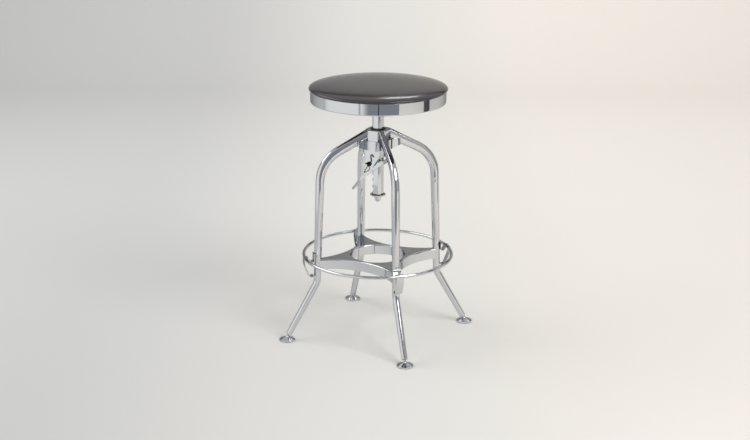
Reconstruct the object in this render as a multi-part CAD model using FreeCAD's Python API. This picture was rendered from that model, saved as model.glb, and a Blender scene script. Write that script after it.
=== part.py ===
"""Round swivel stool with four bent tube legs, a foot ring and a notched lifting post.

Millimetres, +Z up, origin on the floor under the middle of the seat. The four legs stand on the
diagonals, and the post's flat sides face along X and Y.
"""
import FreeCAD
import Part
import math
import os
from FreeCAD import Vector

# Seat
CUSHION_DIAMETER = 355.0
CUSHION_HEIGHT = 18.0
CUSHION_BELLY_HEIGHT = 3.5
CUSHION_DRAW_IN = 5.5
CUSHION_SQUARENESS = 2.6
SEAT_BAND_DIAMETER = 347.0
SEAT_BAND_HEIGHT = 30.0
SEAT_BAND_SHEET = 1.5
SEAT_BAND_LIP = 3.0
SEAT_HEIGHT = 677.0
BOARD_THICKNESS = 12.0
SEAT_PLATE_DIAMETER = 150.0
SEAT_PLATE_THICKNESS = 3.0
SOCKET_DIAMETER = 32.0
SOCKET_LENGTH = 27.0
SEAT_SCREW_COUNT = 4
SEAT_SCREW_CIRCLE = 120.0
SEAT_SCREW_DIAMETER = 5.0
SEAT_SCREW_LENGTH = 12.0

# Lifting post
POST_WIDTH = 26.0
POST_CORNER_FLATS = 28.3
POST_WALL = 3.0
POST_EDGE_RADIUS = 1.0
POST_BELOW_PAWL = 63.5
BUSH_FLANGE = 2.0
UPPER_BUSH_DEPTH = 18.0
LOWER_BUSH_DEPTH = 8.0
SPINDLE_DIAMETER = 12.0
END_WASHER_DIAMETER = 40.0
END_WASHER_THICKNESS = 4.0
CAP_NUT_FLATS = 18.0
CAP_NUT_HEIGHT = 17.0
SPINDLE_IN_NUT = 10.0
NOTCH_PITCH = 17.0
NOTCHES_EACH_WAY = 3
NOTCH_ROOT_RADIUS = 4.0
NOTCH_HOOK_ANGLE = 35.0
NOTCH_RAMP_ANGLE = 58.0

# Hub and braces
HUB_FLATS = 57.0
HUB_CORNER_FLATS = 60.0
HUB_BELOW_SEAT = 148.5
HUB_HEIGHT = 28.0
LINER_WALL = 1.6
LINER_LIP = 1.5
LINER_LIP_WIDTH = 2.5
BRACE_SHEET = 2.0
BRACE_EDGE_RADIUS = 3.0
UPPER_BRACE_DEPTH = 26.0
UPPER_BRACE_WAIST = 59.0
UPPER_BRACE_REACH = 57.0
UPPER_BRACE_RISE = 10.0
SLOT_SET_BACK = 2.0
LOWER_BRACE_TOP = 218.5
LOWER_BRACE_DEPTH = 26.0
LOWER_BRACE_WAIST = 161.0
LOWER_BRACE_HOLE = 142.0

# Legs, as a line in the upright plane of each leg
TUBE_DIAMETER = 22.0
TUBE_FOOT_DIAMETER = 15.5
TUBE_WALL = 1.5
PRESSED_HEIGHT = 26.8
PRESSED_WIDTH = 15.0
ARCH_SLOPE = 27.1
ARCH_BEND_RADIUS = 89.0
POST_SPLAY = 2.08
LEG_REACH_AT_RING = 162.4
FOOT_SPLAY = 29.5
FOOT_BEND_RADIUS = 38.0
FOOT_CIRCLE = 494.6
ROUND_OFF_LENGTH = 22.0
STRAIGHT_STEPS = 7
BEND_STEPS = 8

# Foot ring
RING_STAND_OFF = 22.2
RING_ROD = 8.0
RING_HEIGHT = 220.3
STRAP_THICKNESS = 2.0
STRAP_WIDTH = 20.0
STRAP_TAB = 23.0
STRAP_DIP = 7.0
STRAP_VALLEY = 12.6
STRAP_CREST = 4.6
STRAP_WAIST = 14.0
STRAP_DROP = 50.0
STRAP_TOE = 9.6
STRAP_TOE_RISE = 4.5
STRAP_BEND = 3.5

# Glides
BALL_DIAMETER = 10.0
BALL_HEIGHT = 9.0
NECK_DIAMETER = 5.2
LEG_END_GAP = 10.0
GLIDE_DIAMETER = 41.0
GLIDE_RIM = 3.0
PAD_DIAMETER = 37.0
PAD_THICKNESS = 2.5
PAD_STANDS_OUT = 1.2
CAP_DOME = 3.0
CAP_SPIGOT = 10.0
SOCKET_LIP = 1.2
GLIDE_DOME_RISE = 3.1

# Lever
PIVOT_BEHIND = 20.0
PIVOT_BELOW_HUB = 65.5
LEVER_PLATE = 2.0
LEVER_ARM_HEIGHT = 9.4
LEVER_ARM_SLOPE = 39.5
HANDLE_KNEE_OUT = 24.0
HANDLE_KNEE_DROP = 43.8
HANDLE_TIP_OUT = 47.0
HANDLE_TIP_DROP = 73.4
LEVER_HANDLE_HEIGHT = 6.4
PAWL_DIAMETER = 6.0
PAWL_OUT = 10.2
PAWL_BELOW_PIVOT = 15.0
YOKE_PIN_DIAMETER = 6.0
YOKE_PIN_X = 19.5
PIN_STANDS_OUT = 0.6
EAR_PLATE = 2.5
EAR_WIDTH = 43.0
EAR_BELOW_PIVOT = 8.0
EAR_PAST_PIVOT = 7.0
EAR_TAPER_TOP = 23.0
EAR_ROUND = 13.0
EAR_SNIP = 4.0
PIVOT_DIAMETER = 7.0
PIVOT_HEAD = 2.2
SPRING_WIRE = 1.8
SPRING_TURNS = 3
SPRING_PITCH = 2.4
SPRING_LEG_ANGLE = -29.0
HOOK_OUT = 18.1
HOOK_RISE = 22.2
HOOK_TOP = 33.5
HOOK_SHANK = 10.2
SPRING_FOOT_REACH = 20.3

# Running clearances
SIDE_PLAY = 1.0
PIN_PLAY = 0.05
POST_PLAY = 0.25
WELD_GAP = 0.1
SLOT_PLAY = 0.2
SEAT_GAP = 0.3

# Sizes that follow from the ones above
BAND_TOP = SEAT_HEIGHT - CUSHION_HEIGHT
BAND_BOTTOM = BAND_TOP - SEAT_BAND_HEIGHT
BOARD_BOTTOM = BAND_TOP - BOARD_THICKNESS
PLATE_BOTTOM = BOARD_BOTTOM - SEAT_PLATE_THICKNESS
SOCKET_BOTTOM = PLATE_BOTTOM - SOCKET_LENGTH
HUB_BOTTOM = SEAT_HEIGHT - HUB_BELOW_SEAT
LEVER_PIVOT_X = -PIVOT_BEHIND
LEVER_PIVOT_Z = HUB_BOTTOM - PIVOT_BELOW_HUB
PAWL_X = -PAWL_OUT
PAWL_Z = LEVER_PIVOT_Z - PAWL_BELOW_PIVOT
POST_BOTTOM = PAWL_Z - POST_BELOW_PAWL
EAR_BOTTOM = LEVER_PIVOT_Z - EAR_BELOW_PIVOT
POST_TOP = SOCKET_BOTTOM - BUSH_FLANGE
WASHER_TOP = POST_BOTTOM - BUSH_FLANGE
NUT_TOP = WASHER_TOP - END_WASHER_THICKNESS
HUB_TOP = HUB_BOTTOM + HUB_HEIGHT
PLATE_OFFSET = POST_WIDTH / 2 + SIDE_PLAY
EAR_OFFSET = PLATE_OFFSET + LEVER_PLATE + SIDE_PLAY
LEG_ANGLES = {"front": -45.0, "right": 45.0, "back": 135.0, "left": 225.0}
OUT = "parts"


def save(shape, name):
    """Write one sub-part, after checking that it is sound."""
    if not shape.isValid():
        raise RuntimeError(name + " is not a sound solid")
    shape.exportStep(os.path.join(OUT, name + ".step"))
    print(name, "solids", len(shape.Solids), "volume", round(shape.Volume, 1))


def turned(shape, degrees):
    """A copy turned about the stool's upright axis."""
    copy = shape.copy()
    copy.rotate(Vector(0, 0, 0), Vector(0, 0, 1), degrees)
    return copy


def cylinder(diameter, bottom, top, x=0.0, y=0.0):
    return Part.makeCylinder(diameter / 2, top - bottom, Vector(x, y, bottom))


def cross_pin(diameter, half_length, x, z):
    """A round pin along Y."""
    return Part.makeCylinder(diameter / 2, 2 * half_length, Vector(x, -half_length, z), Vector(0, 1, 0))


def ring_edges(shape, z, radius=None):
    """The level circles of a shape at one height, of one radius if that is given."""
    found = []
    for edge in shape.Edges:
        if isinstance(edge.Curve, Part.Circle) and abs(edge.Vertexes[0].Z - z) < 0.01:
            if radius is None or abs(edge.Curve.Radius - radius) < 0.01:
                found.append(edge)
    return found


def octagon(flats, corner_flats, bottom, top):
    """An upright eight-sided bar: four sides face along X and Y, four along the diagonals."""
    half = flats / 2
    short = corner_flats / 2 * math.sqrt(2) - half
    ring = [(half, -short), (half, short), (short, half), (-short, half),
            (-half, short), (-half, -short), (-short, -half), (short, -half)]
    points = [Vector(x, y, bottom) for x, y in ring]
    face = Part.Face(Part.makePolygon(points + points[:1]))
    return face.extrude(Vector(0, 0, top - bottom))


def post_bar(grown, bottom, top):
    """An upright bar with the post's outline, grown (or shrunk) all round by one amount."""
    bar = octagon(POST_WIDTH + 2 * grown, POST_CORNER_FLATS + 2 * grown, bottom, top)
    upright = [e for e in bar.Edges if abs(e.tangentAt(e.FirstParameter).z) > 0.9]
    return bar.makeFillet(POST_EDGE_RADIUS, upright)


def corner_arc(before, corner, after, radius):
    """Start, middle and end of the arc that rounds one corner, and the arc's centre."""
    first = (before - corner).normalize()
    second = (after - corner).normalize()
    half = first.getAngle(second) / 2
    start = corner + first * (radius / math.tan(half))
    end = corner + second * (radius / math.tan(half))
    centre = corner + (first + second).normalize() * (radius / math.sin(half))
    middle = centre + (corner - centre).normalize() * radius
    return start, middle, end, centre


def outline(points, radii):
    """A closed flat face in the XZ plane, with each corner rounded by its own radius."""
    count = len(points)
    corners = [Vector(x, 0, z) for x, z in points]
    stretches = []
    for i, radius in enumerate(radii):
        here = corners[i]
        if radius > 0:
            stretches.append(corner_arc(corners[i - 1], here, corners[(i + 1) % count], radius)[:3])
        else:
            stretches.append((here, None, here))
    edges = []
    for i, (start, middle, end) in enumerate(stretches):
        if middle is not None:
            edges.append(Part.Arc(start, middle, end).toShape())
        following = stretches[(i + 1) % count][0]
        if (following - end).Length > 1e-6:
            edges.append(Part.LineSegment(end, following).toShape())
    return Part.Face(Part.Wire(edges))


def bent_strip(points, radii, thickness):
    """A flat face in the XZ plane: a strip of one thickness, bent round each inner point."""
    line = [Vector(x, 0, z) for x, z in points]
    across = Vector(0, 1, 0)

    def side(offset):
        edges = []
        last = line[0] + (line[1] - line[0]).normalize().cross(across) * offset
        for i in range(1, len(line) - 1):
            start, middle, end, centre = corner_arc(line[i - 1], line[i], line[i + 1], radii[i - 1])
            into = (line[i] - line[i - 1]).normalize().cross(across) * offset
            out = (line[i + 1] - line[i]).normalize().cross(across) * offset
            half = (into + out).normalize() * offset * (1 if offset > 0 else -1)
            first, second, third = start + into, middle + half, end + out
            edges.append(Part.LineSegment(last, first).toShape())
            edges.append(Part.Arc(first, second, third).toShape())
            last = third
        finish = line[-1] + (line[-1] - line[-2]).normalize().cross(across) * offset
        edges.append(Part.LineSegment(last, finish).toShape())
        return edges, finish

    left, left_end = side(thickness / 2)
    right, right_end = side(-thickness / 2)
    left_start = left[0].Vertexes[0].Point
    right_start = right[0].Vertexes[0].Point
    caps = [Part.LineSegment(left_end, right_end).toShape(),
            Part.LineSegment(left_start, right_start).toShape()]
    return Part.Face(Part.Wire(Part.__sortEdges__(left + right + caps)))


def across(face, low, high):
    """Extrude a face of the XZ plane from y = low to y = high."""
    moved = face.copy()
    moved.translate(Vector(0, low, 0))
    return moved.extrude(Vector(0, high - low, 0))


def post_reach(z):
    """Distance of a leg's line from the stool's axis, on the leg's upright stretch."""
    return LEG_REACH_AT_RING - (z - RING_HEIGHT) * math.tan(math.radians(POST_SPLAY))


def crossing(start, direction, other_start, other_direction):
    """Where two lines of the XZ plane meet."""
    gap = other_start - start
    cross = direction.x * other_direction.z - direction.z * other_direction.x
    along = (gap.x * other_direction.z - gap.z * other_direction.x) / cross
    return start + direction * along


ARCH_WAY = Vector(math.cos(math.radians(ARCH_SLOPE)), 0, -math.sin(math.radians(ARCH_SLOPE)))
POST_WAY = Vector(math.sin(math.radians(POST_SPLAY)), 0, -math.cos(math.radians(POST_SPLAY)))
FOOT_WAY = Vector(math.sin(math.radians(FOOT_SPLAY)), 0, -math.cos(math.radians(FOOT_SPLAY)))
LEG_START = Vector(HUB_CORNER_FLATS / 2, 0, HUB_BOTTOM + HUB_HEIGHT / 2)
BALL_CENTRE = Vector(FOOT_CIRCLE / 2, 0, BALL_HEIGHT)
RING_POINT = Vector(LEG_REACH_AT_RING, 0, RING_HEIGHT)
ARCH_CORNER = crossing(LEG_START, ARCH_WAY, RING_POINT, POST_WAY)
FOOT_CORNER = crossing(RING_POINT, POST_WAY, BALL_CENTRE, FOOT_WAY)
LEG_END = BALL_CENTRE - FOOT_WAY * LEG_END_GAP


def tube_diameter_at(z):
    """Outer diameter of the tube below the arch: it tapers evenly down to the foot."""
    share = (ARCH_CORNER.z - z) / (ARCH_CORNER.z - LEG_END.z)
    return TUBE_DIAMETER + (TUBE_FOOT_DIAMETER - TUBE_DIAMETER) * min(max(share, 0), 1) ** 1.5


def pressed_section(centre, way, height, width, squareness):
    """A closed upright section of the leg: an oval whose sides are pressed flat."""
    normal = way.cross(Vector(0, 1, 0))
    points = []
    steps = 24
    for i in range(steps):
        angle = 2 * math.pi * i / steps
        c, s = math.cos(angle), math.sin(angle)
        wide = math.copysign(abs(c) ** (2 / squareness), c) * width / 2
        high = math.copysign(abs(s) ** (2 / squareness), s) * height / 2
        points.append(centre + Vector(0, wide, 0) + normal * high)
    curve = Part.BSplineCurve()
    curve.interpolate(Points=points, PeriodicFlag=True)
    return Part.Wire(curve.toShape())


def leg_shape(inset):
    """The leg in the XZ plane, from the hub to the foot, made smaller all round by inset."""
    start, middle, end, centre = corner_arc(LEG_START, ARCH_CORNER, FOOT_CORNER, ARCH_BEND_RADIUS)
    foot_start, foot_middle, foot_end, foot_centre = corner_arc(
        ARCH_CORNER, FOOT_CORNER, BALL_CENTRE, FOOT_BEND_RADIUS)
    straight = (start - LEG_START).Length
    turn = math.radians(90 - POST_SPLAY - ARCH_SLOPE)
    bend = ARCH_BEND_RADIUS * turn
    run_out = ROUND_OFF_LENGTH
    round_at = straight + bend + run_out

    def station(s):
        """Centre and direction of the leg's line at distance s from the hub."""
        if s <= straight:
            return LEG_START + ARCH_WAY * s, ARCH_WAY
        if s >= straight + bend:
            return end + POST_WAY * (s - straight - bend), POST_WAY
        angle = math.radians(ARCH_SLOPE) + (s - straight) / ARCH_BEND_RADIUS
        way = Vector(math.cos(angle), 0, -math.sin(angle))
        return centre + Vector(-way.z, 0, way.x) * ARCH_BEND_RADIUS, way

    stations = [straight * i / STRAIGHT_STEPS for i in range(-1, STRAIGHT_STEPS + 1)]
    stations += [straight + bend * (i + 1) / BEND_STEPS for i in range(BEND_STEPS)]
    stations += [round_at - run_out / 2, round_at]
    top_diameter = tube_diameter_at(end.z - run_out)
    wires = []
    for s in stations:
        point, way = station(s)
        share = min(max(s / round_at, 0), 1)
        widen = max(share - 0.35, 0) / 0.65
        smooth = widen * widen * (3 - 2 * widen)
        height = PRESSED_HEIGHT + (top_diameter - PRESSED_HEIGHT) * share
        width = PRESSED_WIDTH + (top_diameter - PRESSED_WIDTH) * smooth
        squareness = 2 + 0.7 * (1 - smooth)
        wires.append(pressed_section(point, way, height - 2 * inset, width - 2 * inset, squareness))
    arch = Part.makeLoft(wires, True, False)

    knee, knee_way = station(round_at)
    waist_diameter = tube_diameter_at(foot_middle.z)
    upper = Part.makeCone(top_diameter / 2 - inset, waist_diameter / 2 - inset,
                          (foot_start - knee).Length, knee, POST_WAY)
    ankle = Part.Face(Part.Wire(Part.makeCircle(waist_diameter / 2 - inset, foot_start, POST_WAY)))
    lower_bend = ankle.revolve(foot_centre, Vector(0, -1, 0), FOOT_SPLAY - POST_SPLAY)
    lower = Part.makeCone(waist_diameter / 2 - inset, TUBE_FOOT_DIAMETER / 2 - inset,
                          (LEG_END - foot_end).Length, foot_end, FOOT_WAY)
    return arch.fuse([upper, lower_bend, lower], 0.01).removeSplitter()


def make_legs():
    room = 4 * HUB_FLATS
    hub_side = Part.makeBox(room, room, room, Vector(HUB_CORNER_FLATS / 2 + WELD_GAP - room, -room / 2,
                                                     HUB_BOTTOM - room / 2))
    leg = leg_shape(0.0).cut(leg_shape(TUBE_WALL)).cut(hub_side)
    for name, angle in LEG_ANGLES.items():
        save(turned(leg, angle), "leg_" + name)
    return leg_shape(WELD_GAP * -1)


def make_hub():
    liner_skin = POST_PLAY + LINER_WALL
    bore = post_bar(liner_skin + WELD_GAP, HUB_BOTTOM - 1, HUB_TOP + 1)
    collar = octagon(HUB_FLATS, HUB_CORNER_FLATS, HUB_BOTTOM, HUB_TOP)
    rims = [e for e in collar.Edges if all(abs(v.Z - HUB_TOP) < 0.01 for v in e.Vertexes)]
    save(collar.makeChamfer(1.0, rims).cut(bore), "hub_collar")
    sleeve = post_bar(liner_skin, HUB_BOTTOM, HUB_TOP + LINER_LIP)
    lip = post_bar(liner_skin + LINER_LIP_WIDTH, HUB_TOP + WELD_GAP, HUB_TOP + LINER_LIP)
    passage = post_bar(POST_PLAY, HUB_BOTTOM - 1, HUB_TOP + LINER_LIP + 1)
    save(sleeve.fuse(lip).removeSplitter().cut(passage), "guide_liner")


def four_arms(waist, reach, half_width, bottom, top):
    """A four-armed block: arms along the diagonals, with a hollow arc between each pair."""
    tip_x = (reach - half_width) / math.sqrt(2)
    tip_y = (reach + half_width) / math.sqrt(2)
    turned_points = []
    for quarter in range(4):
        spin = math.radians(90 * quarter)
        c, s = math.cos(spin), math.sin(spin)
        trio = [(-tip_x, -tip_y), (0.0, -waist / 2), (tip_x, -tip_y)]
        turned_points.append([Vector(x * c - y * s, x * s + y * c, bottom) for x, y in trio])
    edges = []
    for quarter, (first, middle, last) in enumerate(turned_points):
        edges.append(Part.Arc(first, middle, last).toShape())
        edges.append(Part.LineSegment(last, turned_points[(quarter + 1) % 4][0]).toShape())
    return Part.Face(Part.Wire(edges)).extrude(Vector(0, 0, top - bottom))


def top_side_edges(shape, z, skip_tips):
    """Edges of the top face, without the straight ends of the arms when they are to stay sharp."""
    found = []
    for edge in shape.Edges:
        level = all(abs(v.Z - z) < 0.01 for v in edge.Vertexes)
        straight = isinstance(edge.Curve, Part.Line)
        if level and not (skip_tips and straight):
            found.append(edge)
    return found


def make_lower_brace(leg_room):
    top = LOWER_BRACE_TOP
    bottom = top - LOWER_BRACE_DEPTH
    half = tube_diameter_at(top) / 2 - 1.2
    reach = post_reach(top) - 2.0
    block = four_arms(LOWER_BRACE_WAIST, reach, half, bottom, top)
    hole = cylinder(LOWER_BRACE_HOLE, bottom - 1, top + 1)
    rounded = block.makeFillet(BRACE_EDGE_RADIUS, top_side_edges(block, top, True)).cut(hole)
    rounded = rounded.makeFillet(BRACE_EDGE_RADIUS, ring_edges(rounded, top, LOWER_BRACE_HOLE / 2))
    hollow = four_arms(LOWER_BRACE_WAIST - 2 * BRACE_SHEET, reach + 1, half - BRACE_SHEET,
                       bottom - 1, top - BRACE_SHEET)
    ring_wall = cylinder(LOWER_BRACE_HOLE + 2 * BRACE_SHEET, bottom - 2, top + 1)
    brace = rounded.cut(hollow.cut(ring_wall))
    for angle in LEG_ANGLES.values():
        brace = brace.cut(turned(leg_room, angle))
    save(brace, "lower_brace")


def make_upper_brace():
    top = HUB_BOTTOM
    bottom = top - UPPER_BRACE_DEPTH
    half = PRESSED_WIDTH / 2 + BRACE_SHEET + SLOT_PLAY
    block = four_arms(UPPER_BRACE_WAIST, UPPER_BRACE_REACH, half, bottom, top)
    hollow = four_arms(UPPER_BRACE_WAIST - 2 * BRACE_SHEET, UPPER_BRACE_REACH + 1, half - BRACE_SHEET,
                       bottom - 1, top - BRACE_SHEET)
    brace = block.cut(hollow)
    rise_start = UPPER_BRACE_WAIST / 2
    slope = UPPER_BRACE_RISE / (UPPER_BRACE_REACH - rise_start)
    far = UPPER_BRACE_REACH * 1.5
    under = Part.Face(Part.makePolygon([
        Vector(rise_start, 0, bottom), Vector(far, 0, bottom + (far - rise_start) * slope),
        Vector(far, 0, bottom - 5), Vector(rise_start, 0, bottom - 5), Vector(rise_start, 0, bottom)]))
    brace = brace.cut(under.revolve(Vector(0, 0, 0), Vector(0, 0, 1), 360))
    slot_start = HUB_CORNER_FLATS / 2 - SLOT_SET_BACK
    slot_width = 2 * (half - BRACE_SHEET)
    slot = Part.makeBox(UPPER_BRACE_REACH, slot_width, UPPER_BRACE_DEPTH + 2,
                        Vector(slot_start, -slot_width / 2, bottom - 1))
    cuts = [turned(slot, angle) for angle in LEG_ANGLES.values()]
    cuts.append(post_bar(SIDE_PLAY, bottom - 1, top + 1))
    save(brace.cut(cuts).removeSplitter(), "upper_brace")


def make_ring():
    ring_reach = LEG_REACH_AT_RING + tube_diameter_at(RING_HEIGHT) / 2 + RING_STAND_OFF
    ring = Part.makeTorus(ring_reach, RING_ROD / 2, Vector(0, 0, RING_HEIGHT), Vector(0, 0, 1))
    save(ring, "footrest_ring")
    wrap = RING_ROD / 2 + SEAT_GAP + STRAP_THICKNESS / 2
    tab_top = RING_HEIGHT - STRAP_DIP + STRAP_TAB
    skin = STRAP_THICKNESS / 2 + WELD_GAP

    def leg_face(z):
        taper = tube_diameter_at(z) / 2
        return post_reach(z) + taper / math.cos(math.radians(POST_SPLAY)) + skin

    dip = RING_HEIGHT - STRAP_DIP
    foot_z = RING_HEIGHT - STRAP_DROP + STRAP_TOE_RISE
    points = [(leg_face(tab_top), tab_top),
              (leg_face(dip), dip),
              (ring_reach - STRAP_VALLEY, dip - STRAP_BEND / 7),
              (ring_reach - STRAP_CREST, RING_HEIGHT + wrap),
              (ring_reach + wrap, RING_HEIGHT + wrap),
              (ring_reach + wrap - STRAP_BEND / 6, RING_HEIGHT - STRAP_WAIST),
              (ring_reach - STRAP_TOE, RING_HEIGHT - STRAP_DROP),
              (leg_face(foot_z) + STRAP_BEND / 6, foot_z)]
    radii = [STRAP_BEND, STRAP_BEND, wrap, wrap, 6 * wrap, 1.5 * STRAP_BEND]
    face = bent_strip(points, radii, STRAP_THICKNESS)
    strap = across(face, -STRAP_WIDTH / 2, STRAP_WIDTH / 2)
    for name, angle in LEG_ANGLES.items():
        save(turned(strap, angle), "ring_bracket_" + name)


def make_feet():
    ball = Part.makeSphere(BALL_DIAMETER / 2, BALL_CENTRE)
    neck = Part.makeCylinder(NECK_DIAMETER / 2, LEG_END_GAP, LEG_END, FOOT_WAY)
    cap_radius = TUBE_FOOT_DIAMETER / 2
    spigot_radius = cap_radius - TUBE_WALL - WELD_GAP
    dome_height = CAP_DOME
    up = FOOT_WAY * -1
    side = Vector(FOOT_WAY.z, 0, -FOOT_WAY.x)
    base = LEG_END + FOOT_WAY * WELD_GAP
    inner_end = base + up * CAP_SPIGOT
    crown = base - up * dome_height
    profile = Part.Wire([
        Part.LineSegment(inner_end, inner_end + side * spigot_radius).toShape(),
        Part.LineSegment(inner_end + side * spigot_radius, base + side * spigot_radius).toShape(),
        Part.LineSegment(base + side * spigot_radius, base + side * cap_radius).toShape(),
        Part.Arc(base + side * cap_radius, base + side * cap_radius * 0.78 - up * dome_height * 0.62,
                 crown).toShape(),
        Part.LineSegment(crown, inner_end).toShape()])
    cap = Part.Face(profile).revolve(LEG_END, FOOT_WAY, 360)
    plug = cap.fuse([neck, ball]).removeSplitter()

    rim = GLIDE_DIAMETER / 2
    floor = PAD_STANDS_OUT
    socket = BALL_DIAMETER / 2 + 0.1
    lip_angle = math.radians(72.0)
    lip_inner = (socket * math.sin(lip_angle), BALL_HEIGHT + socket * math.cos(lip_angle))
    pad_room = PAD_DIAMETER / 2 + SEAT_GAP
    ceiling = PAD_THICKNESS + WELD_GAP
    outer = [(0.0, ceiling), (pad_room, ceiling), (pad_room, floor), (rim, floor), (rim, floor + GLIDE_RIM)]
    shoulder = (lip_inner[0] + 2 * SOCKET_LIP, lip_inner[1] - SOCKET_LIP / 2)
    points = [Vector(r, 0, z) for r, z in outer]
    edges = [Part.LineSegment(a, b).toShape() for a, b in zip(points, points[1:])]
    dome_end = Vector(shoulder[0], 0, shoulder[1])
    dome_mid = Vector(rim * 0.62, 0, floor + GLIDE_RIM + GLIDE_DOME_RISE)
    edges.append(Part.Arc(points[-1], dome_mid, dome_end).toShape())
    lip = Vector(lip_inner[0], 0, lip_inner[1])
    edges.append(Part.LineSegment(dome_end, Vector(lip_inner[0] + SOCKET_LIP, 0, lip_inner[1])).toShape())
    edges.append(Part.LineSegment(Vector(lip_inner[0] + SOCKET_LIP, 0, lip_inner[1]), lip).toShape())
    low = Vector(0, 0, BALL_HEIGHT - socket)
    seat_side = Vector(socket * math.sin(2.2), 0, BALL_HEIGHT + socket * math.cos(2.2))
    edges.append(Part.Arc(lip, seat_side, low).toShape())
    edges.append(Part.LineSegment(low, points[0]).toShape())
    cup = Part.Face(Part.Wire(edges)).revolve(Vector(0, 0, 0), Vector(0, 0, 1), 360)
    cup.translate(Vector(BALL_CENTRE.x, 0, 0))
    pad = cylinder(PAD_DIAMETER, 0, PAD_THICKNESS, BALL_CENTRE.x)
    pad = pad.makeFillet(0.6, ring_edges(pad, 0))
    for name, angle in LEG_ANGLES.items():
        save(turned(plug, angle), "foot_plug_" + name)
        save(turned(cup, angle), "glide_cup_" + name)
        save(turned(pad, angle), "glide_pad_" + name)


def notch(z):
    """The slanted slot for the pawl: a round root, a hooked upper side and a ramp below."""
    root_x = PAWL_X - 0.3
    root_z = z + 0.5
    hook = math.radians(NOTCH_HOOK_ANGLE)
    ramp = math.radians(NOTCH_RAMP_ANGLE)
    radius = NOTCH_ROOT_RADIUS
    centre = Vector(root_x, 0, root_z)
    top = centre + Vector(-math.sin(hook), 0, math.cos(hook)) * radius
    low = centre + Vector(math.sin(ramp), 0, -math.cos(ramp)) * radius
    far = 14.0
    top_out = top - Vector(math.cos(hook), 0, math.sin(hook)) * far
    low_out = low - Vector(math.cos(ramp), 0, math.sin(ramp)) * far
    middle = centre + Vector(math.cos((ramp - hook) / 2), 0, math.sin((hook - ramp) / 2)) * radius
    middle = centre + (middle - centre).normalize() * radius
    wire = Part.Wire([Part.LineSegment(top_out, top).toShape(), Part.Arc(top, middle, low).toShape(),
                      Part.LineSegment(low, low_out).toShape(), Part.LineSegment(low_out, top_out).toShape()])
    return across(Part.Face(wire), -POST_WIDTH, POST_WIDTH)


def make_post():
    post = post_bar(0, POST_BOTTOM, POST_TOP)
    post = post.cut(post_bar(-POST_WALL, POST_BOTTOM - 1, POST_TOP + 1))
    for step in range(-NOTCHES_EACH_WAY, NOTCHES_EACH_WAY + 1):
        post = post.cut(notch(PAWL_Z + step * NOTCH_PITCH))
    save(post, "lifting_post")

    bore = SPINDLE_DIAMETER + 2 * PIN_PLAY
    for name, flange_bottom, body_bottom, depth in (
            ("upper_bush", POST_TOP, POST_TOP - UPPER_BUSH_DEPTH, UPPER_BUSH_DEPTH),
            ("lower_bush", WASHER_TOP, POST_BOTTOM, LOWER_BUSH_DEPTH)):
        flange = post_bar(0, flange_bottom, flange_bottom + BUSH_FLANGE)
        body = post_bar(-POST_WALL - PIN_PLAY, body_bottom, body_bottom + depth)
        whole = flange.fuse(body).removeSplitter()
        save(whole.cut(cylinder(bore, POST_BOTTOM - 50, POST_TOP + 50)), name)


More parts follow.
